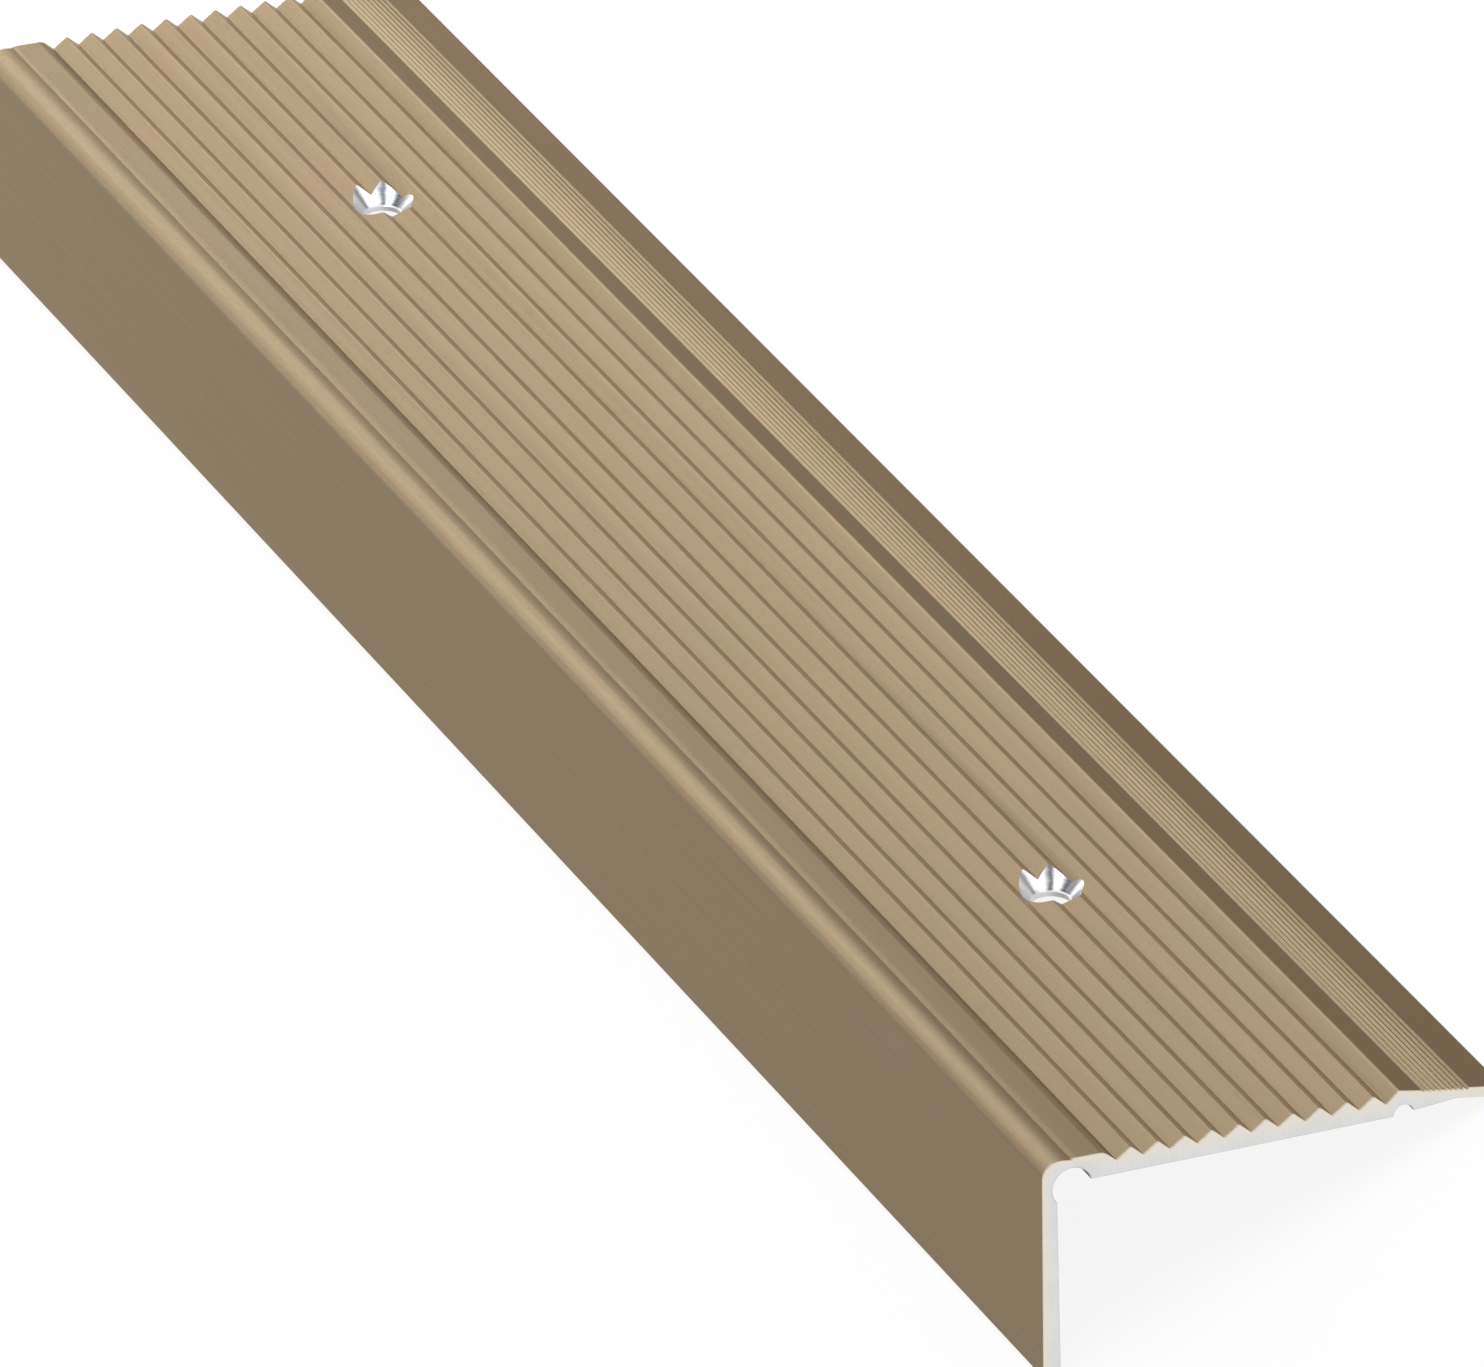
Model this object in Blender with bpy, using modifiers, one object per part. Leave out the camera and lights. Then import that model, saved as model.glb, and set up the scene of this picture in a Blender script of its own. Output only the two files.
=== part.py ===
"""Stair nosing: one length of extruded aluminium, L-shaped in section, with a ridged tread face and
two countersunk screw holes. Metres, +Z up.

The section is drawn as (depth, height): depth 0 is the riser's front face and grows towards the back
of the tread, and height 0 is the plane of the ridge crests. The piece then lies on a level floor as
it would unheld, on the foot of the riser and on the rear lip, with the length along X.
"""

import math

import bpy
import bmesh
from mathutils import Matrix, Vector

# Overall sizes
LENGTH = 0.300
TREAD_DEPTH = 0.0517
RISER_HEIGHT = 0.0247
RISER_THICKNESS = 0.00195
RISER_NECK_THICKNESS = 0.00165
WEB_THICKNESS = 0.00162

# Nose: rounded front, a smooth band, a fine step up and the plain band behind it
NOSE_RADIUS = 0.0017
NOSE_HEIGHT = 0.00001
NOSE_BAND_DEPTH = 0.00305
NOSE_BAND_FALL = 0.00004
STEP_RUN = 0.00006
PLAIN_BAND_HEIGHT = 0.00009
SHOULDER_RADIUS = 0.0020

# Ridges of the tread face, one between each two grooves, as many as fit ahead of the ramp
FIRST_GROOVE_LEAST = 0.0075
GROOVE_PITCH = 0.00302
FLANK_ANGLE = math.radians(38.5)
CREST_RADIUS = 0.00030
GROOVE_RADIUS = 0.00012

# Rear ramp: a smooth strip, a band of fine ribs, and a smooth lip out to the tip
RAMP_START = 0.00130
RAMP_START_HEIGHT = 0.00018
RAMP_START_RADIUS = 0.00025
FRONT_STRIP_WIDTH = 0.00245
FRONT_STRIP_ANGLE = math.radians(11.5)
RIB_COUNT = 9
RIB_PITCH = 0.00061
RIB_BAND_ANGLE = math.radians(8.0)
RIB_DEPTH_FRONT = 0.00010
RIB_DEPTH_REAR = 0.00024
RIB_BACK_RUN = 0.00026
LIP_WIDTH = 0.00391
LIP_ANGLE = math.radians(9.0)
LIP_THICKNESS = 0.00113
EDGE_RADIUS = 0.00028

# Underside
LIP_UNDERSIDE_WIDTH = 0.0053
FOOT_LIFT = 0.00028
KEY_GROOVE_BEHIND_RAMP = 0.00058
KEY_GROOVE_RADIUS = 0.00115
RELIEF_RADIUS = 0.0022
RELIEF_WALL = 0.00112

# Screw holes
HOLE_COUNT = 2
HOLE_FROM_END = 0.0586
HOLE_SPACING = 0.1868
HOLE_DEPTH = 0.0265
BORE_RADIUS = 0.0021
COUNTERSINK_RADIUS = 0.00423
COUNTERSINK_ANGLE = math.radians(90)
CUTTER_OVERSHOOT = 0.001
HOLE_SIDES = 48

ARC_STEP = math.radians(15)

BRONZE = (0.34, 0.25, 0.155, 1.0)


def clear_scene():
    """Empties the scene, so that a second run gives the same objects."""
    for old in list(bpy.data.objects):
        bpy.data.objects.remove(old, do_unlink=True)


def new_collection(name):
    """A collection of this name under the scene's own."""
    made = bpy.data.collections.new(name)
    bpy.context.scene.collection.children.link(made)
    return made


def arc(centre, radius, start, end):
    """Points on an arc from angle start to angle end, both included."""
    steps = max(1, math.ceil(abs(end - start) / ARC_STEP))
    angles = [start + (end - start) * i / steps for i in range(steps + 1)]
    return [centre + radius * Vector((math.cos(a), math.sin(a))) for a in angles]


def fillet_centre(before, corner, after, radius):
    """Centre of the arc of this radius that touches both straight lines of a corner."""
    towards = ((before - corner).normalized(), (after - corner).normalized())
    middle = (towards[0] + towards[1]).normalized()
    half_angle = towards[0].angle(towards[1]) / 2
    return corner + middle * (radius / math.sin(half_angle))


def fillet(before, corner, after, radius):
    """The arc that rounds a corner, in the order the outline is drawn."""
    centre = fillet_centre(before, corner, after, radius)
    ends = []
    for side in (before, after):
        along = (side - corner).normalized()
        foot = corner + along * (centre - corner).dot(along)
        ends.append(foot - centre)
    start = math.atan2(ends[0].y, ends[0].x)
    turn = math.atan2(ends[0].cross(ends[1]), ends[0].dot(ends[1]))
    return arc(centre, radius, start, start + turn)


def rounded(corners):
    """An open chain of (point, radius) with its inner corners rounded where they have a radius."""
    points = [corners[0][0]]
    for (before, _), (corner, radius), (after, _) in zip(corners, corners[1:], corners[2:]):
        points += fillet(before, corner, after, radius) if radius else [corner]
    return points + [corners[-1][0]]


def rounding_loss(radius):
    """How far an arc of this radius stays short of the sharp corner between two ridge flanks."""
    return radius * (1 / math.cos(FLANK_ANGLE) - 1)


def ramp_width():
    return FRONT_STRIP_WIDTH + RIB_COUNT * RIB_PITCH + LIP_WIDTH


def last_groove_depth():
    return TREAD_DEPTH - ramp_width() - RAMP_START


def groove_count():
    """The grooves that fit between the plain band and the ramp."""
    return 1 + math.floor((last_groove_depth() - FIRST_GROOVE_LEAST) / GROOVE_PITCH)


def groove_depth_at(index):
    """Depth of a groove's middle, behind the riser's front face: they are set out from the ramp."""
    return last_groove_depth() - (groove_count() - 1 - index) * GROOVE_PITCH


def screw_line_depth():
    """Depth of the screw holes, which are drilled on the groove nearest to HOLE_DEPTH."""
    return groove_depth_at(round((HOLE_DEPTH - groove_depth_at(0)) / GROOVE_PITCH))


def sharp_crest_height():
    return rounding_loss(CREST_RADIUS)


def sharp_groove_height():
    return sharp_crest_height() - GROOVE_PITCH / 2 * math.tan(FLANK_ANGLE)


def groove_bottom_height():
    return sharp_groove_height() + rounding_loss(GROOVE_RADIUS)


def pad_height():
    """Height of the flat underside that beds on the step."""
    return groove_bottom_height() - WEB_THICKNESS


def nose_corners():
    """Front of the tread face, from the riser's front face to the shoulder above the first groove."""
    step_foot = Vector((NOSE_BAND_DEPTH, NOSE_HEIGHT - NOSE_BAND_FALL))
    step_top = Vector((NOSE_BAND_DEPTH + STEP_RUN, PLAIN_BAND_HEIGHT))
    shoulder_rise = PLAIN_BAND_HEIGHT - sharp_groove_height()
    shoulder = Vector((groove_depth_at(0) - shoulder_rise / math.tan(FLANK_ANGLE), PLAIN_BAND_HEIGHT))
    return [
        (Vector((0, NOSE_HEIGHT)), NOSE_RADIUS),
        (step_foot, 0),
        (step_top, 0),
        (shoulder, SHOULDER_RADIUS),
    ]


def ridge_corners():
    """Grooves and crests of the tread face, front to back."""
    corners = []
    for index in range(groove_count()):
        depth = groove_depth_at(index)
        corners.append((Vector((depth, sharp_groove_height())), GROOVE_RADIUS))
        if index < groove_count() - 1:
            crest = Vector((depth + GROOVE_PITCH / 2, sharp_crest_height()))
            corners.append((crest, CREST_RADIUS))
    return corners


def ramp_start():
    return Vector((last_groove_depth() + RAMP_START, RAMP_START_HEIGHT))


def rib_band_start():
    fall = FRONT_STRIP_WIDTH * math.tan(FRONT_STRIP_ANGLE)
    return ramp_start() + Vector((FRONT_STRIP_WIDTH, -fall))


def rib_band_end():
    width = RIB_COUNT * RIB_PITCH
    return rib_band_start() + Vector((width, -width * math.tan(RIB_BAND_ANGLE)))


def rib_corners():
    """Fine saw-toothed ribs: each rises gently to the back and drops, more deeply towards the rear."""
    corners = []
    start = rib_band_start()
    for index in range(RIB_COUNT):
        share = index / max(1, RIB_COUNT - 1)
        depth = RIB_DEPTH_FRONT + (RIB_DEPTH_REAR - RIB_DEPTH_FRONT) * share
        for run, drop in ((0, 0), (RIB_BACK_RUN, depth)):
            offset = index * RIB_PITCH + run
            corners.append((start + Vector((offset, -offset * math.tan(RIB_BAND_ANGLE) - drop)), 0))
    return corners + [(rib_band_end(), 0)]


def tip_top():
    return rib_band_end() + Vector((LIP_WIDTH, -LIP_WIDTH * math.tan(LIP_ANGLE)))


def tip_bottom():
    return tip_top() - Vector((0, LIP_THICKNESS / math.cos(LIP_ANGLE)))


def lip_underside_front():
    rise = LIP_UNDERSIDE_WIDTH * math.tan(LIP_ANGLE)
    return tip_bottom() + Vector((-LIP_UNDERSIDE_WIDTH, rise))


def key_groove():
    """Half-round groove across the underside: its arc, from the lip's foot to the pad."""
    centre = Vector((ramp_start().x + KEY_GROOVE_BEHIND_RAMP, pad_height()))
    foot_angle = math.asin(FOOT_LIFT / KEY_GROOVE_RADIUS)
    return arc(centre, KEY_GROOVE_RADIUS, foot_angle, math.pi)


def corner_relief():
    """Round relief in the inner corner: its arc, from the pad to the riser's inner face."""
    inset = RELIEF_WALL + RELIEF_RADIUS
    centre = Vector((inset, PLAIN_BAND_HEIGHT - inset))
    pad_angle = math.asin((pad_height() - centre.y) / RELIEF_RADIUS)
    riser_angle = math.pi + math.acos((centre.x - RISER_NECK_THICKNESS) / RELIEF_RADIUS)
    return arc(centre, RELIEF_RADIUS, pad_angle, riser_angle)


def riser_foot():
    """The riser's lower corners, inner first."""
    return Vector((RISER_THICKNESS, -RISER_HEIGHT)), Vector((0, -RISER_HEIGHT))


def section_outline():
    """The whole closed section, from the riser's foot over the tread face and back underneath."""
    inner_foot, outer_foot = riser_foot()
    groove_arc = key_groove()
    relief_arc = corner_relief()
    top = [(outer_foot, EDGE_RADIUS)] + nose_corners() + ridge_corners()
    top += [(ramp_start(), RAMP_START_RADIUS)] + rib_corners()
    tip = [(tip_top(), EDGE_RADIUS), (tip_bottom(), EDGE_RADIUS), (lip_underside_front(), 0)]
    outer = [(inner_foot, 0)] + top + tip + [(groove_arc[0], 0)]
    foot = [(relief_arc[-1], 0), (inner_foot, EDGE_RADIUS), (outer_foot, 0)]
    return rounded(outer)[1:] + groove_arc[1:] + relief_arc[:-1] + rounded(foot)[:-1]


def resting_angle():
    """Tilt at which the riser's inner foot and the lip's lower edge both touch a level floor."""
    inner_foot, outer_foot = riser_foot()
    relief_end = corner_relief()[-1]
    front = fillet_centre(relief_end, inner_foot, outer_foot, EDGE_RADIUS)
    rear = fillet_centre(tip_top(), tip_bottom(), lip_underside_front(), EDGE_RADIUS)
    across = rear - front
    return math.atan2(across.y, across.x)


def make_resting_frame(outline, collection):
    """Empty that lays the section down: tilted, centred front to back, lowest point on the floor."""
    tilt = Matrix.Rotation(-resting_angle(), 4, "X")
    laid = [tilt @ Vector((0, point.x, point.y)) for point in outline]
    middle = (min(point.y for point in laid) + max(point.y for point in laid)) / 2
    floor = min(point.z for point in laid)
    frame = bpy.data.objects.new("resting_frame", None)
    frame.matrix_world = Matrix.Translation((0, -middle, -floor)) @ tilt
    frame.empty_display_size = TREAD_DEPTH
    collection.objects.link(frame)
    return frame


def extrude_section(name, outline, length, frame, collection):
    """Extrudes the section along X and returns it as a closed mesh object."""
    curve = bpy.data.curves.new(name + "_outline", "CURVE")
    curve.dimensions = "2D"
    curve.fill_mode = "BOTH"
    curve.extrude = length / 2
    spline = curve.splines.new("POLY")
    spline.points.add(len(outline) - 1)
    for point, place in zip(spline.points, outline):
        point.co = (place.x, place.y, 0, 1)
    spline.use_cyclic_u = True
    drawn = bpy.data.objects.new(name + "_outline", curve)
    collection.objects.link(drawn)
    drawn.parent = frame
    drawn.rotation_euler = (math.pi / 2, 0, math.pi / 2)
    bpy.context.view_layer.update()

    graph = bpy.context.evaluated_depsgraph_get()
    mesh = bpy.data.meshes.new_from_object(drawn.evaluated_get(graph))
    mesh.name = name
    shape = bmesh.new()
    shape.from_mesh(mesh)
    bmesh.ops.remove_doubles(shape, verts=shape.verts, dist=1e-6)
    bmesh.ops.recalc_face_normals(shape, faces=shape.faces)
    shape.to_mesh(mesh)
    shape.free()
    solid = bpy.data.objects.new(name, mesh)
    solid.matrix_world = drawn.matrix_world
    collection.objects.link(solid)
    bpy.data.objects.remove(drawn, do_unlink=True)
    return solid


def make_hole_cutter(name, along, frame, collection):
    """Turned cutter of one screw hole: a bore that opens upwards into the countersink's cone."""
    slope = math.tan(COUNTERSINK_ANGLE / 2)
    top = CUTTER_OVERSHOOT
    cone_foot = -(COUNTERSINK_RADIUS - BORE_RADIUS) / slope
    bottom = pad_height() - CUTTER_OVERSHOOT
    profile = [
        (0, top),
        (COUNTERSINK_RADIUS + top * slope, top),
        (BORE_RADIUS, cone_foot),
        (BORE_RADIUS, bottom),
        (0, bottom),
    ]
    mesh = bpy.data.meshes.new(name)
    edges = [(i, i + 1) for i in range(len(profile) - 1)]
    mesh.from_pydata([(radius, 0, height) for radius, height in profile], edges, [])
    cutter = bpy.data.objects.new(name, mesh)
    collection.objects.link(cutter)
    cutter.parent = frame
    cutter.location = (along, screw_line_depth(), 0)
    turn = cutter.modifiers.new("turn", "SCREW")
    turn.steps = HOLE_SIDES
    turn.render_steps = HOLE_SIDES
    turn.use_merge_vertices = True
    turn.merge_threshold = 1e-6
    cutter.hide_render = True
    cutter.display_type = "WIRE"
    return cutter


def anodised_aluminium():
    """Satin bronze anodising."""
    material = bpy.data.materials.new("bronze_anodised")
    material.use_nodes = True
    shader = material.node_tree.nodes["Principled BSDF"]
    shader.inputs["Base Color"].default_value = BRONZE
    shader.inputs["Metallic"].default_value = 1.0
    shader.inputs["Roughness"].default_value = 0.42
    return material


def build():
    clear_scene()
    parts = new_collection("stair_nosing")
    cutters = new_collection("stair_nosing_cutters")
    outline = section_outline()
    frame = make_resting_frame(outline, parts)
    nosing = extrude_section("nosing_profile", outline, LENGTH, frame, parts)
    nosing.data.materials.append(anodised_aluminium())
    for index in range(HOLE_COUNT):
        along = LENGTH / 2 - HOLE_FROM_END - index * HOLE_SPACING
        cutter = make_hole_cutter(f"hole_cutter_{index + 1}", along, frame, cutters)
        hole = nosing.modifiers.new(f"screw_hole_{index + 1}", "BOOLEAN")
        hole.operation = "DIFFERENCE"
        hole.solver = "EXACT"
        hole.object = cutter


build()
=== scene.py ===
import math

import bmesh
import bpy
import numpy as np
from mathutils import Matrix, Vector
from mathutils.geometry import delaunay_2d_cdt


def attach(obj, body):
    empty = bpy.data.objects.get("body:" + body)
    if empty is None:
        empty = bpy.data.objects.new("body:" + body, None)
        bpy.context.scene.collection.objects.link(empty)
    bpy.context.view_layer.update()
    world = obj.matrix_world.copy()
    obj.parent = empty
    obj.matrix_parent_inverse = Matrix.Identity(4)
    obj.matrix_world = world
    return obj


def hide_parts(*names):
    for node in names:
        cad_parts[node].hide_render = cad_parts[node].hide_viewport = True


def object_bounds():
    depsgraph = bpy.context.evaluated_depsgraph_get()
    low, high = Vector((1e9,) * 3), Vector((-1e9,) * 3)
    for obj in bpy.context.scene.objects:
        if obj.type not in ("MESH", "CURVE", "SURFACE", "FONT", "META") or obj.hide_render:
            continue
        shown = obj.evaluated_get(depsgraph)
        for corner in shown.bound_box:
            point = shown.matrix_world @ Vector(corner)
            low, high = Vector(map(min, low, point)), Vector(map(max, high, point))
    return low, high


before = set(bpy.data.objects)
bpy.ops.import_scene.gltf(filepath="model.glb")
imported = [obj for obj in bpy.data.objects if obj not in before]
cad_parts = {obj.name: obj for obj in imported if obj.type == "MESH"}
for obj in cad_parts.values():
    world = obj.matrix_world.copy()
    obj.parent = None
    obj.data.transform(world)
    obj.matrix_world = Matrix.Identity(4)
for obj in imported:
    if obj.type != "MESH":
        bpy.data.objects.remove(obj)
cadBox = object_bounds()

millimetre = 0.001
degree = math.pi / 180


# Camera: over the near end of the nosing, looking along it, from a long way off
shot = {
    "place": (1.968756, -0.323607, 1.279230),
    "aim": (0.026834, -0.003058, 0.012),
    "roll": -26.996 * degree,
    "lens": 531.2,
    "sensor": 36.0,
    "nearest": 0.05,
    "furthest": 60.0,
}


def makeCamera():
    camera = bpy.data.objects.new("camera", bpy.data.cameras.new("camera"))
    camera.data.lens = shot["lens"]
    camera.data.sensor_width = shot["sensor"]
    camera.data.clip_start = shot["nearest"]
    camera.data.clip_end = shot["furthest"]
    place = Vector(shot["place"])
    facing = (Vector(shot["aim"]) - place).to_track_quat("-Z", "Y").to_matrix().to_4x4()
    camera.matrix_world = Matrix.Translation(place) @ facing @ Matrix.Rotation(shot["roll"], 4, "Z")
    bpy.context.scene.collection.objects.link(camera)
    bpy.context.scene.camera = camera
    print("camera made")


# The extrusion's section, as (depth, height): depth 0 is the riser's front, height 0 the ridge crests
section = {
    "treadDepth": 51.7,
    "riserHeight": 24.7,
    "riserThickness": 1.95,
    "riserNeck": 1.65,  # where the corner relief meets the riser
    "web": 1.62,  # plate under the grooves
    "noseRadius": 1.6,
    "noseHeight": -0.35,
    "noseTop": (2.08, 0.07),  # the smooth band behind the rounded nose is crowned here
    "noseCrown": 3.7,
    "noseBand": 3.16,
    "noseBandHeight": -0.09,
    "stepRun": 0.08,
    "stepHeight": 0.04,
    "plainBandHeight": 0.09,
    "plainTop": 3.75,
    "plainCrown": 4.0,
    "shoulderHeight": 0.03,
    "shoulderRadius": 1.5,
    "firstGroove": 7.5,  # no groove comes nearer to the front than this
    "groovePitch": 3.02,
    "grooveShift": 0.12,  # grooves lie this much in front of the middle between two crests
    "flankAngle": 38.5 * degree,
    "crestRadius": 0.30,
    "grooveRadius": 0.12,
    "rampStart": 1.30,  # behind the last groove
    "rampHeight": 0.18,
    "rampRadius": 0.6,
    "stripWidth": 2.58,
    "stripAngle": 11.5 * degree,
    "ribCount": 9,
    "ribPitch": 0.5956,
    "ribBandAngle": 8.0 * degree,
    "ribDepths": (0.17, 0.24),  # first and last rib
    "ribBackRuns": (0.19, 0.38),
    "ribRounding": 0.03,
    "lipWidth": 3.91,
    "lipAngle": 9.0 * degree,
    "lipThickness": 1.13,
    "edgeRadius": 0.28,
    "lipUnderside": 5.3,
    "footLift": 0.28,
    "keyGrooveBehindRamp": 0.58,
    "keyGrooveRadius": 1.15,
    "reliefRadius": 2.2,
    "reliefWall": 1.12,
    "arcStep": 6 * degree,
    "longRun": 0.4,  # straight runs over this get a point close to each end, which keeps them flat
    "holdBack": 0.03,
    "sharpAngle": 24 * degree,  # edges that turn more than this stay sharp in the shading
}


def arcPoints(centre, radius, start, end):
    steps = max(2, math.ceil(abs(end - start) / section["arcStep"]))
    angles = [start + (end - start) * i / steps for i in range(steps + 1)]
    return [centre + radius * Vector((math.cos(a), math.sin(a))) for a in angles]


def filletCentre(before, corner, after, radius):
    sides = ((before - corner).normalized(), (after - corner).normalized())
    middle = (sides[0] + sides[1]).normalized()
    return corner + middle * (radius / math.sin(sides[0].angle(sides[1]) / 2))


def filletPoints(before, corner, after, radius):
    centre = filletCentre(before, corner, after, radius)
    feet = []
    for side in (before, after):
        along = (side - corner).normalized()
        feet.append(corner + along * (centre - corner).dot(along) - centre)
    start = math.atan2(feet[0].y, feet[0].x)
    turn = math.atan2(feet[0].cross(feet[1]), feet[0].dot(feet[1]))
    return arcPoints(centre, radius, start, start + turn)


def roundedChain(corners):  # corners are (point, radius), the first and last stay as they are
    points = [corners[0][0]]
    for (before, _), (corner, radius), (after, _) in zip(corners, corners[1:], corners[2:]):
        points += filletPoints(before, corner, after, radius) if radius else [corner]
    return points + [corners[-1][0]]


def lostToRounding(radius):  # a ridge crest or groove of this radius stays this far short of its point
    return radius * (1 / math.cos(section["flankAngle"]) - 1)


def tread():  # heights and depths that several stretches of the section share
    s = section
    crest = lostToRounding(s["crestRadius"])
    groove = crest - s["groovePitch"] / 2 * math.tan(s["flankAngle"])
    rampWidth = s["stripWidth"] + s["ribCount"] * s["ribPitch"] + s["lipWidth"]
    lastGroove = s["treadDepth"] - rampWidth - s["rampStart"]
    count = 1 + math.floor((lastGroove - s["firstGroove"]) / s["groovePitch"])
    bottom = groove + lostToRounding(s["grooveRadius"])
    return {
        "crest": crest,
        "groove": groove,
        "grooves": [lastGroove - (count - 1 - i) * s["groovePitch"] for i in range(count)],
        "ramp": Vector((lastGroove + s["rampStart"], s["rampHeight"])),
        "pad": bottom - s["web"],
    }


def noseCorners(t):
    s = section
    backRun = s["groovePitch"] / 2 - s["grooveShift"]
    slope = (t["crest"] - t["groove"]) / backRun
    shoulder = t["grooves"][0] - s["grooveShift"] - (s["shoulderHeight"] - t["groove"]) / slope
    return [
        (Vector((0, s["noseHeight"])), s["noseRadius"]),
        (Vector(s["noseTop"]), s["noseCrown"]),
        (Vector((s["noseBand"], s["noseBandHeight"])), 0),
        (Vector((s["noseBand"] + s["stepRun"], s["stepHeight"])), 0),
        (Vector((s["plainTop"], s["plainBandHeight"])), s["plainCrown"]),
        (Vector((shoulder, s["shoulderHeight"])), s["shoulderRadius"]),
    ]


def ridgeCorners(t):
    s = section
    corners = []
    for depth in t["grooves"]:
        corners.append((Vector((depth - s["grooveShift"], t["groove"])), s["grooveRadius"]))
        corners.append((Vector((depth + s["groovePitch"] / 2, t["crest"])), s["crestRadius"]))
    return corners[:-1]


def rampCorners(t):
    s = section
    start = t["ramp"] + Vector((s["stripWidth"], -s["stripWidth"] * math.tan(s["stripAngle"])))
    corners = [(t["ramp"], s["rampRadius"])]
    for index in range(s["ribCount"]):
        share = index / (s["ribCount"] - 1)
        depth = s["ribDepths"][0] * (1 - share) + s["ribDepths"][1] * share
        backRun = s["ribBackRuns"][0] * (1 - share) + s["ribBackRuns"][1] * share
        for run, drop in ((0, 0), (backRun, depth)):
            offset = index * s["ribPitch"] + run
            place = start + Vector((offset, -offset * math.tan(s["ribBandAngle"]) - drop))
            corners.append((place, s["ribRounding"]))
    width = s["ribCount"] * s["ribPitch"]
    end = start + Vector((width, -width * math.tan(s["ribBandAngle"])))
    return corners + [(end, s["ribRounding"])]


def tipCorners(ribEnd):
    s = section
    top = ribEnd + Vector((s["lipWidth"], -s["lipWidth"] * math.tan(s["lipAngle"])))
    bottom = top - Vector((0, s["lipThickness"] / math.cos(s["lipAngle"])))
    inner = bottom + Vector((-s["lipUnderside"], s["lipUnderside"] * math.tan(s["lipAngle"])))
    return [(top, s["edgeRadius"]), (bottom, s["edgeRadius"]), (inner, 0)]


def holdFlat(points):  # a point close to each end of a long straight run
    held = []
    for here, after in zip(points, points[1:] + points[:1]):
        held.append(here)
        run = after - here
        if run.length > section["longRun"]:
            held.append(here + run.normalized() * section["holdBack"])
            held.append(after - run.normalized() * section["holdBack"])
    return held


def drawSection():  # the closed outline, its finished upper stretch, and the tilt at which it rests
    s = section
    t = tread()
    innerFoot = Vector((s["riserThickness"], -s["riserHeight"]))
    outerFoot = Vector((0, -s["riserHeight"]))
    ramp = rampCorners(t)
    tip = tipCorners(ramp[-1][0])
    keyCentre = Vector((t["ramp"].x + s["keyGrooveBehindRamp"], t["pad"]))
    keyStart = math.asin(s["footLift"] / s["keyGrooveRadius"])
    keyGroove = arcPoints(keyCentre, s["keyGrooveRadius"], keyStart, math.pi)
    inset = s["reliefWall"] + s["reliefRadius"]
    reliefCentre = Vector((inset, s["plainBandHeight"] - inset))
    reliefStart = math.asin((t["pad"] - reliefCentre.y) / s["reliefRadius"])
    reliefEnd = math.pi + math.acos((reliefCentre.x - s["riserNeck"]) / s["reliefRadius"])
    relief = arcPoints(reliefCentre, s["reliefRadius"], reliefStart, reliefEnd)

    upper = [(innerFoot, 0), (outerFoot, s["edgeRadius"])] + noseCorners(t) + ridgeCorners(t) + ramp
    shown = roundedChain(upper + tip[:2] + [tip[2]])[1:-1]
    hidden = [tip[2][0]] + keyGroove + relief[:-1]
    hidden += roundedChain([(relief[-1], 0), (innerFoot, s["edgeRadius"]), (outerFoot, 0)])[:-1]

    front = filletCentre(relief[-1], innerFoot, outerFoot, s["edgeRadius"])
    rear = filletCentre(tip[0][0], tip[1][0], tip[2][0], s["edgeRadius"])
    tilt = math.atan2((rear - front).y, (rear - front).x)
    return holdFlat(shown + hidden), len(holdFlat(shown)), tilt


# The cut ends: sawn square, the arris broken a little, the finish rubbed off beside it
cutEnd = {
    "arris": 0.05,
    "rubbedStrip": 0.12,
    "rings": (0.07, 0.17, 0.32),  # how far in from the outline the face has its points
    "ringStep": 0.22,
    "ringClearance": 0.93,  # share of a ring's distance that its points keep from every side
    "faceMargin": 1.1,
    "warmReach": 0.38,  # painted warm reflection as a bright rim under the finished upper sides, and painted shade as a grey rim along the others
    "greyReach": 0.07,
}


def samplesAlong(points, step):  # points every step along a closed outline, with their inward normals
    places, normals = [], []
    for here, after in zip(points, np.roll(points, -1, axis=0)):
        run = after - here
        size = float(np.hypot(*run))
        inward = np.array((run[1], -run[0])) / size
        for share in np.arange(0.5, max(1, round(size / step))) / max(1, round(size / step)):
            places.append(here + run * share)
            normals.append(inward)
    return np.array(places), np.array(normals)


def distanceTo(places, starts, ends):  # from each place to the nearest of these straight runs
    nearest = np.full(len(places), np.inf)
    for start, end in zip(starts, ends):
        run = end - start
        share = np.clip((places - start) @ run / max(run @ run, 1e-12), 0, 1)
        gap = np.linalg.norm(places - start - share[:, None] * run, axis=1)
        nearest = np.minimum(nearest, gap)
    return nearest


def facePoints(outline):  # rings of points inside the section, for the cut face
    found = []
    for ring in cutEnd["rings"]:
        places, normals = samplesAlong(outline, cutEnd["ringStep"])
        moved = places + normals * ring
        clear = distanceTo(moved, outline, np.roll(outline, -1, axis=0)) > ring * cutEnd["ringClearance"]
        found.append(moved[clear])
    return np.concatenate(found)


def insideOf(places, outline):  # which places a closed outline holds
    held = np.zeros(len(places), bool)
    for here, after in zip(outline, np.roll(outline, -1, axis=0)):
        if here[1] != after[1]:
            spans = (here[1] > places[:, 1]) != (after[1] > places[:, 1])
            share = (places[:, 1] - here[1]) / (after[1] - here[1])
            held ^= spans & (places[:, 0] < here[0] + (after[0] - here[0]) * share)
    return held


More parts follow.
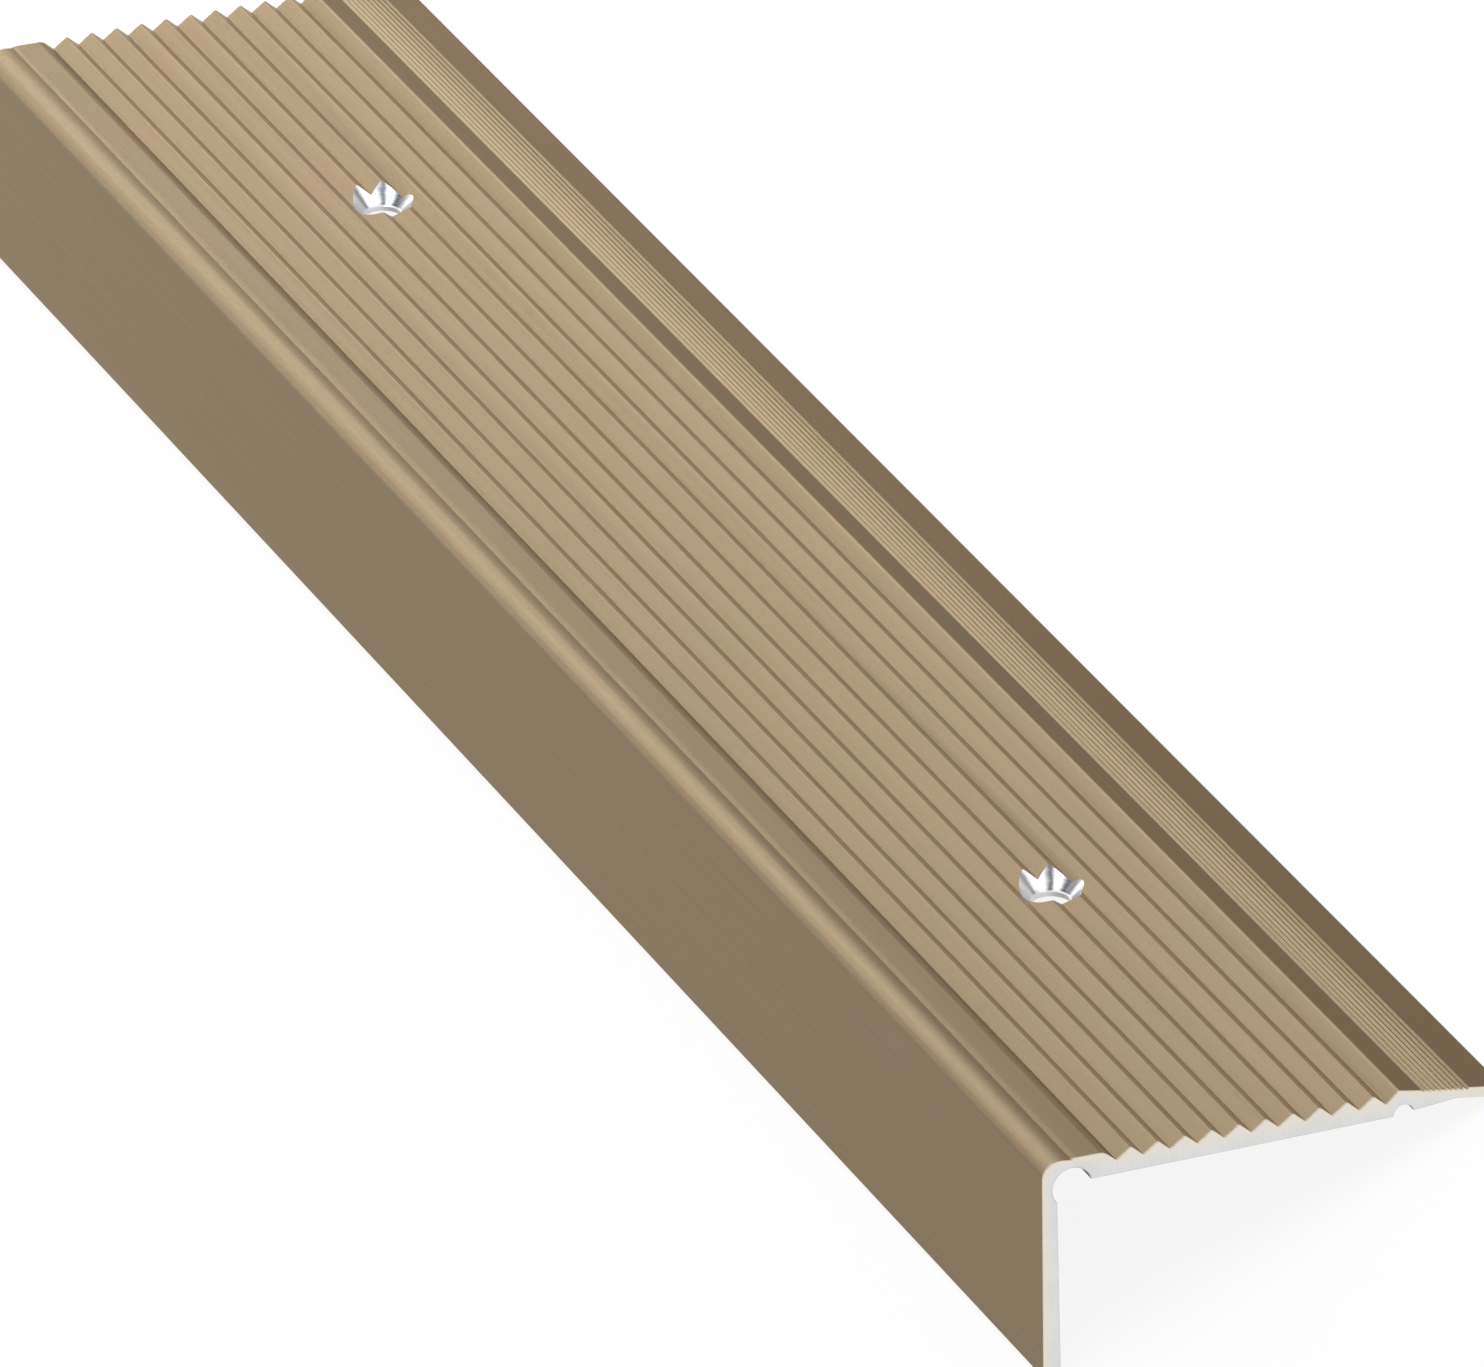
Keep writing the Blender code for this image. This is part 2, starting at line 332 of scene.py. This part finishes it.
def capFaces(outline, inner):  # triangles over the section: its outline first, then the points inside
    places = np.concatenate((outline, inner))
    ring = [(i, (i + 1) % len(outline)) for i in range(len(outline))]
    made = delaunay_2d_cdt([Vector(p) for p in places], ring, [], 0, 1e-7, True)
    origin = np.array([ids[0] for ids in made[3]])
    faces = origin[np.array(made[2])]
    return faces[insideOf(places[faces].mean(axis=1), outline)].tolist()


def extrudeSection(outline):  # a closed shell from end to end, in millimetres
    half = (cadBox[1][0] - cadBox[0][0]) / 2 / millimetre
    flat = np.array([(p.x, p.y) for p in outline])
    inner = facePoints(flat)
    size = len(flat)
    back = cutEnd["arris"]
    strip = cutEnd["rubbedStrip"]
    stations = (-half + back, -half + strip, half - strip, half - back)
    verts = [(x, p[0], p[1]) for x in stations for p in flat]
    faces = []
    kinds = []
    for row in range(len(stations) - 1):
        for i in range(size):
            j = (i + 1) % size
            faces.append((row * size + i, row * size + j, (row + 1) * size + j, (row + 1) * size + i))
            kinds.append(0 if row == 1 else 1)
    triangles = capFaces(flat, inner)
    for row, end in ((0, -half), (len(stations) - 1, half)):
        first = len(verts)
        verts += [(end, p[0], p[1]) for p in inner]
        for triangle in triangles:
            faces.append([row * size + i if i < size else first + i - size for i in triangle])
            kinds.append(2)
    return verts, faces, kinds, flat


# Screw holes: turned with a countersink that chattered, so its cone has shallow waves
screwHole = {
    "count": 2,
    "fromEnd": 58.6,
    "spacing": 186.8,
    "nominalDepth": 26.5,
    "bore": 2.1,
    "mouth": 4.23,
    "coneAngle": 90 * degree,
    "past": 1.0,
    "sides": 144,
    "rows": 10,
    "waves": 7,
    "waveHeight": 0.022,
    "slowShare": 0.5,  # a second wave, two turns fewer round the cone
    "slowPhase": 2.3,
    "phaseStep": 1.1,  # from one hole to the next
    "lip": 0.05,  # small flat that breaks the bore's upper edge
    "lipRise": 0.02,
    "lipWaves": 0.3,
}


def screwLine():
    grooves = tread()["grooves"]
    return grooves[round((screwHole["nominalDepth"] - grooves[0]) / section["groovePitch"])]


def holeCutter(along, phase):
    h = screwHole
    slope = math.tan(h["coneAngle"] / 2)
    foot = -(h["mouth"] - h["bore"]) / slope
    levels = [h["past"] + (foot - h["past"]) * i / h["rows"] for i in range(h["rows"] + 1)]
    profile = [(h["mouth"] + z * slope, z, 1.0) for z in levels[:-1]]
    profile.append((h["bore"] + h["lip"], foot + h["lipRise"], h["lipWaves"]))
    profile.append((h["bore"], foot - h["lip"], 0.0))
    profile.append((h["bore"], tread()["pad"] - h["past"], 0.0))
    verts = []
    for radius, height, wavy in profile:
        for k in range(h["sides"]):
            turn = 2 * math.pi * k / h["sides"]
            slow = math.sin((h["waves"] - 2) * turn + h["slowPhase"] * phase)
            wave = math.sin(h["waves"] * turn + phase) + h["slowShare"] * slow
            out = radius + h["waveHeight"] * wave * wavy
            verts.append((along + out * math.cos(turn), screwLine() + out * math.sin(turn), height))
    faces = []
    for row in range(len(profile) - 1):
        for k in range(h["sides"]):
            j = (k + 1) % h["sides"]
            here = row * h["sides"]
            faces.append((here + k, here + h["sides"] + k, here + h["sides"] + j, here + j))
    faces.append(tuple(range(h["sides"])))
    last = (len(profile) - 1) * h["sides"]
    faces.append(tuple(last + k for k in reversed(range(h["sides"]))))
    return verts, faces


def meshOf(name, verts, faces, materials, kinds=None):
    mesh = bpy.data.meshes.new(name)
    mesh.from_pydata([Vector(v) * millimetre for v in verts], [], faces)
    for material in materials:
        mesh.materials.append(material)
    if kinds:
        mesh.polygons.foreach_set("material_index", kinds)
    shape = bmesh.new()
    shape.from_mesh(mesh)
    bmesh.ops.recalc_face_normals(shape, faces=shape.faces)
    shape.to_mesh(mesh)
    shape.free()
    made = bpy.data.objects.new(name, mesh)
    bpy.context.scene.collection.objects.link(made)
    return made


def cutHoles(solid, cutters):
    for cutter in cutters:
        cut = solid.modifiers.new(cutter.name, "BOOLEAN")
        cut.operation = "DIFFERENCE"
        cut.solver = "EXACT"
        cut.material_mode = "TRANSFER"
        cut.object = cutter
    bpy.context.view_layer.update()
    graph = bpy.context.evaluated_depsgraph_get()
    mesh = bpy.data.meshes.new_from_object(solid.evaluated_get(graph))
    solid.modifiers.clear()
    solid.data = mesh
    for cutter in cutters:
        bpy.data.objects.remove(cutter, do_unlink=True)


def markRims(mesh, flat, shownCount):  # how close each point of a cut face lies to the outline; these rims carry a painted warm reflection and painted shade
    places = np.empty(len(mesh.vertices) * 3, np.float32)
    mesh.vertices.foreach_get("co", places)
    places = places.reshape(-1, 3) / millimetre
    half = np.abs(places[:, 0]).max()
    onFace = np.abs(places[:, 0]) > half - cutEnd["arris"] * cutEnd["faceMargin"]
    ends = np.roll(flat, -1, axis=0)
    # the warm rim carries a painted warm reflection, the grey rim painted shade
    for name, part, reach in (
        ("paintedWarmRim", slice(0, shownCount), cutEnd["warmReach"]),
        ("paintedShadeRim", slice(shownCount, None), cutEnd["greyReach"]),
    ):
        value = np.zeros(len(places), np.float32)
        gap = distanceTo(places[onFace, 1:], flat[part], ends[part])
        value[onFace] = np.exp(-((gap / reach) ** 2))
        mesh.attributes.new(name, "FLOAT", "POINT").data.foreach_set("value", value)
    kept = mesh.attributes.new("sectionPlace", "FLOAT_VECTOR", "POINT")  # for the materials
    kept.data.foreach_set("vector", places.ravel())


def makeNosing():
    outline, shownCount, tilt = drawSection()
    verts, faces, kinds, flat = extrudeSection(outline)
    skins = [satinBronze(tilt), rubbedEdge(), sawnFace()]
    nosing = meshOf("nosing_extrusion", verts, faces, skins, kinds)
    bare = turnedCone()
    half = verts[-1][0]
    cutters = []
    for index in range(screwHole["count"]):
        along = half - screwHole["fromEnd"] - index * screwHole["spacing"]
        cutters.append(meshOf(f"cutter_{index + 1}", *holeCutter(along, screwHole["phaseStep"] * index), [bare]))
    cutHoles(nosing, cutters)
    markRims(nosing.data, flat, shownCount)
    nosing.data.shade_smooth()
    nosing.data.set_sharp_from_angle(angle=section["sharpAngle"])

    laying = Matrix.Rotation(-tilt, 4, "X")
    laid = [laying @ Vector((0, p.x, p.y)) * millimetre for p in outline]
    middle = (min(p.y for p in laid) + max(p.y for p in laid)) / 2
    floorLevel = min(p.z for p in laid)
    nosing.data.transform(Matrix.Translation((0, -middle, -floorLevel)) @ laying)
    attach(nosing, "root")
    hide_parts("nosing_profile")
    print("nosing made:", len(nosing.data.polygons), "faces, tilted", round(-tilt / degree, 2))


# Shader maths: a wire is one socket, and sums on wires add Math nodes
class Wire:
    def __init__(self, tree, socket=None):
        self.tree = tree
        self.socket = socket

    def node(self, kind, settings=None, sockets=None, out=0):
        made = self.tree.nodes.new(kind)
        for name, value in (settings or {}).items():
            setattr(made, name, value)
        for name, value in (sockets or {}).items():
            self.feed(self.find(made.inputs, name), value)
        return Wire(self.tree, self.find(made.outputs, out))

    def find(self, sockets, name):
        if isinstance(name, int):
            return sockets[name]
        return next(s for s in sockets if name in (s.identifier, s.name))

    def feed(self, socket, value):
        if isinstance(value, Wire):
            self.tree.links.new(value.socket, socket)
        else:
            socket.default_value = value

    def sum(self, operation, *values):
        return self.node("ShaderNodeMath", {"operation": operation}, dict(enumerate(values)))

    def __add__(self, other):
        return self.sum("ADD", self, other)

    def __radd__(self, other):
        return self.sum("ADD", other, self)

    def __sub__(self, other):
        return self.sum("SUBTRACT", self, other)

    def __rsub__(self, other):
        return self.sum("SUBTRACT", other, self)

    def __mul__(self, other):
        return self.sum("MULTIPLY", self, other)

    def __rmul__(self, other):
        return self.sum("MULTIPLY", other, self)

    def __truediv__(self, other):
        return self.sum("DIVIDE", self, other)

    def __rtruediv__(self, other):
        return self.sum("DIVIDE", other, self)


def blendColours(wire, share, first, second):
    sockets = {"Factor_Float": share, "A_Color": first, "B_Color": second}
    return wire.node("ShaderNodeMix", {"data_type": "RGBA"}, sockets, "Result_Color")


def sectionPlace(wire):  # along, depth and height in millimetres
    return wire.node("ShaderNodeAttribute", {"attribute_name": "sectionPlace"}, None, "Vector")


def stretchedNoise(wire, cells, detail, offset=0.0):  # cells are so many millimetres long and wide
    along, across = cells
    scales = (1 / along, 1 / across, 1 / across)
    sockets = {"Vector": sectionPlace(wire), "Scale": scales, "Location": (offset,) * 3}
    moved = wire.node("ShaderNodeMapping", None, sockets)
    return wire.node("ShaderNodeTexNoise", None, {"Vector": moved, "Scale": 1.0, "Detail": detail}, "Fac")


def contrasted(noise, contrast):  # the same noise, stretched about its middle
    return noise * contrast + (0.5 - contrast / 2)


def newMaterial(name, constants):
    material = bpy.data.materials.new(name)
    material.use_nodes = True
    shader = material.node_tree.nodes["Principled BSDF"]
    for socket, value in constants.items():
        shader.inputs[socket].default_value = value
    return material, Wire(material.node_tree), shader


# Satin bronze anodising over the whole extrusion, with painted light on the ridges' rear sides and painted shade
# on the smooth strips
bronze = {
    "rosy": (0.271, 0.198, 0.127, 1),
    "olive": (0.251, 0.200, 0.119, 1),
    "dieLineDark": (0.214, 0.164, 0.103, 1),
    "edgeTint": (0.90, 0.84, 0.74, 1),
    "paintedLightOnBacks": (0.400, 0.315, 0.210, 1),  # painted light: a paler colour on the rear sides of the ridges
    "paintedShadeOnStrips": (0.222, 0.155, 0.084, 1),  # painted shade: a darker colour on the smooth strips beside the ribs
    "roughness": 0.48,
    "coat": 0.04,
    "coatRoughness": 0.34,
    "patchCells": (20, 13),  # sizes of the noises' cells, along and across, in millimetres
    "lineCells": (260, 0.55),
    "grainCells": (0.6, 0.3),
    "patchContrast": 1.6,
    "lineLevel": 0.55,  # die lines darken the finish where their noise is over this
    "streaks": 0.8,
    "backsFrom": 0.2,  # how far a side turns rearwards before the painted light makes it paler, and how fast it does
    "backsGain": 2.5,
    "stripsFrom": 0.12,  # the painted shade starts this far behind the ramp's corner
    "stripsShare": 0.85,
    "lineRoughness": 0.10,
    "grainRoughness": 0.12,
    "lineHeight": 0.5,
    "grainHeight": 0.6,
    "bumpStrength": 0.55,
    "bumpDistance": 0.0000012,
}


def satinBronze(tilt):
    b = bronze
    constants = {
        "Metallic": 1.0,
        "Specular Tint": b["edgeTint"],
        "Coat Weight": b["coat"],
        "Coat Roughness": b["coatRoughness"],
    }
    material, wire, shader = newMaterial("satin_bronze", constants)
    patches = stretchedNoise(wire, b["patchCells"], 3.0)
    lines = stretchedNoise(wire, b["lineCells"], 3.0, 4.0)
    grain = stretchedNoise(wire, b["grainCells"], 2.0, 9.0)
    tone = blendColours(wire, contrasted(patches, b["patchContrast"]), b["olive"], b["rosy"])
    darkened = (lines - b["lineLevel"]) * b["streaks"] + (grain - 0.5) * b["streaks"]
    streaked = blendColours(wire, darkened, tone, b["dieLineDark"])

    # painted light: ridge sides that turn rearwards get a paler colour, as though more brightly lit
    normal = wire.node("ShaderNodeTexCoord", out="Normal")
    rearward = {0: normal, 1: (0, math.cos(tilt), -math.sin(tilt))}
    facing = wire.node("ShaderNodeVectorMath", {"operation": "DOT_PRODUCT"}, rearward, "Value")
    depth = wire.node("ShaderNodeSeparateXYZ", None, {"Vector": sectionPlace(wire)}, "Y")
    grooves = tread()["grooves"]
    middle = (grooves[0] + grooves[-1]) / 2
    ridged = wire.sum("COMPARE", depth, middle, grooves[-1] - middle)
    paintedLightOnBacks = wire.sum("MINIMUM", (facing - b["backsFrom"]) * b["backsGain"], 1.0) * ridged
    toned = blendColours(wire, paintedLightOnBacks, streaked, b["paintedLightOnBacks"])

    # painted shade: everything behind the ramp except the ribs gets a darker colour, standing in for the dark
    # surroundings that it reflects
    ramp = tread()["ramp"].x
    halfRibs = section["ribCount"] * section["ribPitch"] / 2
    ribMiddle = ramp + section["stripWidth"] + halfRibs
    smooth = wire.sum("GREATER_THAN", depth, ramp + b["stripsFrom"])
    smooth = smooth - wire.sum("COMPARE", depth, ribMiddle, halfRibs)
    finished = blendColours(wire, smooth * b["stripsShare"], toned, b["paintedShadeOnStrips"])
    wire.feed(shader.inputs["Base Color"], finished)

    rough = (lines - 0.5) * b["lineRoughness"] + (grain - 0.5) * b["grainRoughness"]
    wire.feed(shader.inputs["Roughness"], b["roughness"] + rough)
    height = grain * b["grainHeight"] + lines * b["lineHeight"]
    bump = {"Strength": b["bumpStrength"], "Distance": b["bumpDistance"], "Height": height}
    wire.feed(shader.inputs["Normal"], wire.node("ShaderNodeBump", None, bump, "Normal"))
    return material


# Bare aluminium: rubbed edges, sawn faces and turned cones
aluminium = {
    "edge": (0.74, 0.72, 0.70, 1),
    "edgeRoughness": 0.40,
    "wornCells": (0.4, 0.25),
    "wornContrast": 2.2,
    "face": (0.88, 0.88, 0.88, 1),
    "faceShade": (0.745, 0.75, 0.765, 1),
    # painted warm reflection and painted grey shade for the cut faces' rims
    "faceWarmReflection": (0.92, 0.83, 0.66, 1),
    "faceGreyShade": (0.56, 0.56, 0.58, 1),
    "faceRoughness": 0.46,
    "roughnessSpread": 0.2,
    "sawScale": (1.0, 5.2, 0.42),  # marks to the millimetre, close together across the riser
    "sawTurn": 0.22,
    "sawContrast": 1.6,
    "sawLevel": 0.45,
    "sawStrength": 0.5,
    "sawDepth": 0.000012,
    "cloudCells": (3, 3),
    "cloudContrast": 0.8,
    "warmShare": 0.9,
    "greyShare": 0.7,
    "cone": (0.93, 0.93, 0.95, 1),
    # painted dark reflections in the cones' bands, also the darker tone of the turning rings
    "coneReflectionAndRingDark": (0.07, 0.08, 0.09, 1),
    "coneRoughness": 0.34,
}


def rubbedEdge():
    a = aluminium
    material, wire, shader = newMaterial("rubbed_edge", {"Metallic": 1.0})
    worn = stretchedNoise(wire, a["wornCells"], 3.0)
    tone = blendColours(wire, contrasted(worn, a["wornContrast"]), bronze["rosy"], a["edge"])
    wire.feed(shader.inputs["Base Color"], tone)
    wire.feed(shader.inputs["Roughness"], a["edgeRoughness"] + (worn - 0.5) * a["roughnessSpread"])
    return material


def sawnFace():
    a = aluminium
    material, wire, shader = newMaterial("sawn_face", {"Metallic": 1.0})
    sockets = {"Vector": sectionPlace(wire), "Scale": a["sawScale"], "Rotation": (a["sawTurn"], 0, 0)}
    sawn = wire.node("ShaderNodeMapping", None, sockets)
    marks = wire.node("ShaderNodeTexNoise", None, {"Vector": sawn, "Scale": 1.0, "Detail": 3.0}, "Fac")
    cloud = stretchedNoise(wire, a["cloudCells"], 2.0, 2.0)
    bright = marks * a["sawContrast"] - a["sawLevel"] + (cloud - 0.5) * a["cloudContrast"]
    tone = blendColours(wire, bright, a["faceShade"], a["face"])
    # painted warm reflection along the upper rims, painted shade along the lower ones
    warm = wire.node("ShaderNodeAttribute", {"attribute_name": "paintedWarmRim"}, None, "Fac")
    grey = wire.node("ShaderNodeAttribute", {"attribute_name": "paintedShadeRim"}, None, "Fac")
    tone = blendColours(wire, warm * a["warmShare"], tone, a["faceWarmReflection"])
    tone = blendColours(wire, grey * a["greyShare"], tone, a["faceGreyShade"])
    wire.feed(shader.inputs["Base Color"], tone)
    wire.feed(shader.inputs["Roughness"], a["faceRoughness"] + (marks - 0.5) * a["roughnessSpread"])
    bump = {"Strength": a["sawStrength"], "Distance": a["sawDepth"], "Height": marks}
    wire.feed(shader.inputs["Normal"], wire.node("ShaderNodeBump", None, bump, "Normal"))
    return material


# The turned surface of the cones, with painted dark reflections in bands and fine rings
coneReflectionsAndRings = {
    "darkReflections": (  # painted dark reflections: direction from the hole's middle and width, in degrees, and how dark
        (209, 6, 0.55),
        (157, 9, 0.9),
        (121, 17, 1.0),
        (98, 9, 0.5),
        (74, 14, 0.6),
        (42, 12, 0.3),
        (285, 12, 0.4),
    ),
    "wander": 10,
    "wanderCells": (1.1, 1.1),
    "ringsOut": 9,
    "ringsUp": 3,
    "ringShare": 0.25,
    "boreMargin": 0.1,
    "boreMetallic": 0.45,
    "ringStrength": 0.4,
    "ringDepth": 0.00001,
}


def turnedCone():
    a = aluminium
    c = coneReflectionsAndRings
    material, wire, shader = newMaterial("turned_cone", {"Metallic": 1.0})
    split = {"Vector": sectionPlace(wire)}
    along, depth, height = (wire.node("ShaderNodeSeparateXYZ", None, split, axis) for axis in "XYZ")
    half = (cadBox[1][0] - cadBox[0][0]) / 2 / millimetre
    firstHole = half - screwHole["fromEnd"]
    near = wire.sum("GREATER_THAN", along, firstHole - screwHole["spacing"] / 2)
    middle = firstHole - screwHole["spacing"] + near * screwHole["spacing"]
    out = along - middle
    side = depth - screwLine()
    angle = wire.sum("ARCTAN2", side, out) / degree
    angle = angle + wire.sum("LESS_THAN", angle, 0.0) * 360
    wander = stretchedNoise(wire, c["wanderCells"], 2.0, 3.0)
    # painted dark reflections: near-black bands at set directions round each cone
    dark = 0.0
    for direction, width, strength in c["darkReflections"]:
        offset = wire.sum("ABSOLUTE", angle - direction + (wander - 0.5) * c["wander"]) / width
        dark = strength * wire.sum("EXPONENT", 0 - offset * offset) + dark
    radius = wire.sum("SQRT", out * out + side * side)
    sockets = {"W": radius * c["ringsOut"] + height * c["ringsUp"], "Scale": 1.0, "Detail": 3.0}
    rings = wire.node("ShaderNodeTexNoise", {"noise_dimensions": "1D"}, sockets, "Fac")
    turned = wire.sum("GREATER_THAN", radius, screwHole["bore"] + c["boreMargin"])
    share = wire.sum("MINIMUM", dark + (rings - 0.5) * c["ringShare"], 1.0) * turned
    wire.feed(shader.inputs["Metallic"], turned * (1 - c["boreMetallic"]) + c["boreMetallic"])
    wire.feed(shader.inputs["Base Color"], blendColours(wire, share, a["cone"], a["coneReflectionAndRingDark"]))
    wire.feed(shader.inputs["Roughness"], a["coneRoughness"] + (rings - 0.5) * a["roughnessSpread"])
    bump = {"Strength": c["ringStrength"], "Distance": c["ringDepth"], "Height": rings}
    wire.feed(shader.inputs["Normal"], wire.node("ShaderNodeBump", None, bump, "Normal"))
    return material


# Studio: a white floor, a pale surround and soft boxes
studio = {
    "floorSize": 24.0,
    "floorColour": (0.86, 0.86, 0.86, 1),
    "floorLift": 0.90,  # share of plain white that the floor shows
    "world": (0.32, 0.32, 0.32, 1),
    "lamps": {
        "left_back": {"place": (-1.08, 0.54, 0.37), "size": (0.45, 0.45), "power": 1.05},
        "left_high": {"place": (-0.95, 0.23, 0.56), "size": (0.53, 0.53), "power": 2.85},
        "left": {"place": (-0.95, -0.27, 0.55), "size": (0.44, 0.44), "power": 1.95},
        "left_front": {"place": (-1.08, -0.66, 0.24), "size": (0.5, 0.4), "power": 1.7},
        "overhead": {"place": (0.0, 0.0, 1.30), "size": (1.2, 1.2), "power": 12.0},
        "right_back": {"place": (0.42, 0.86, 0.70), "size": (1.0, 0.8), "power": 3.2},
    },
}


def makeFloor():
    half = studio["floorSize"] / 2 / millimetre
    corners = [(-half, -half, 0), (half, -half, 0), (half, half, 0), (-half, half, 0)]
    material, wire, shader = newMaterial("floor_white", {"Roughness": 1.0, "Specular IOR Level": 0.0})
    shader.inputs["Base Color"].default_value = studio["floorColour"]
    seen = wire.node("ShaderNodeLightPath", out="Is Camera Ray")
    seen = wire.sum("MAXIMUM", seen, wire.node("ShaderNodeLightPath", out="Is Glossy Ray"))
    seen = wire.sum("MAXIMUM", seen, wire.node("ShaderNodeLightPath", out="Is Transmission Ray"))
    white = wire.node("ShaderNodeEmission", None, {"Color": (1, 1, 1, 1), "Strength": 1.0})
    share = {"Fac": seen * studio["floorLift"], 1: Wire(wire.tree, shader.outputs[0]), 2: white}
    mixed = wire.node("ShaderNodeMixShader", None, share)
    wire.tree.links.new(mixed.socket, wire.tree.nodes["Material Output"].inputs["Surface"])
    floor = meshOf("floor", corners, [(0, 1, 2, 3)], [material])
    print("floor made")


def lightStudio():
    world = bpy.data.worlds.new("studio")
    world.use_nodes = True
    background = world.node_tree.nodes["Background"]
    background.inputs["Color"].default_value = studio["world"]
    bpy.context.scene.world = world
    for name, lamp in studio["lamps"].items():
        light = bpy.data.lights.new(name, "AREA")
        light.shape = "RECTANGLE"
        light.size, light.size_y = lamp["size"]
        light.energy = lamp["power"]
        holder = bpy.data.objects.new(name, light)
        place = Vector(lamp["place"])
        facing = (-place).to_track_quat("-Z", "Y").to_matrix().to_4x4()
        holder.matrix_world = Matrix.Translation(place) @ facing
        holder.visible_camera = False
        bpy.context.scene.collection.objects.link(holder)
    bpy.context.scene.view_settings.view_transform = "Standard"
    print("studio lit")


makeCamera()
makeNosing()
makeFloor()
lightStudio()
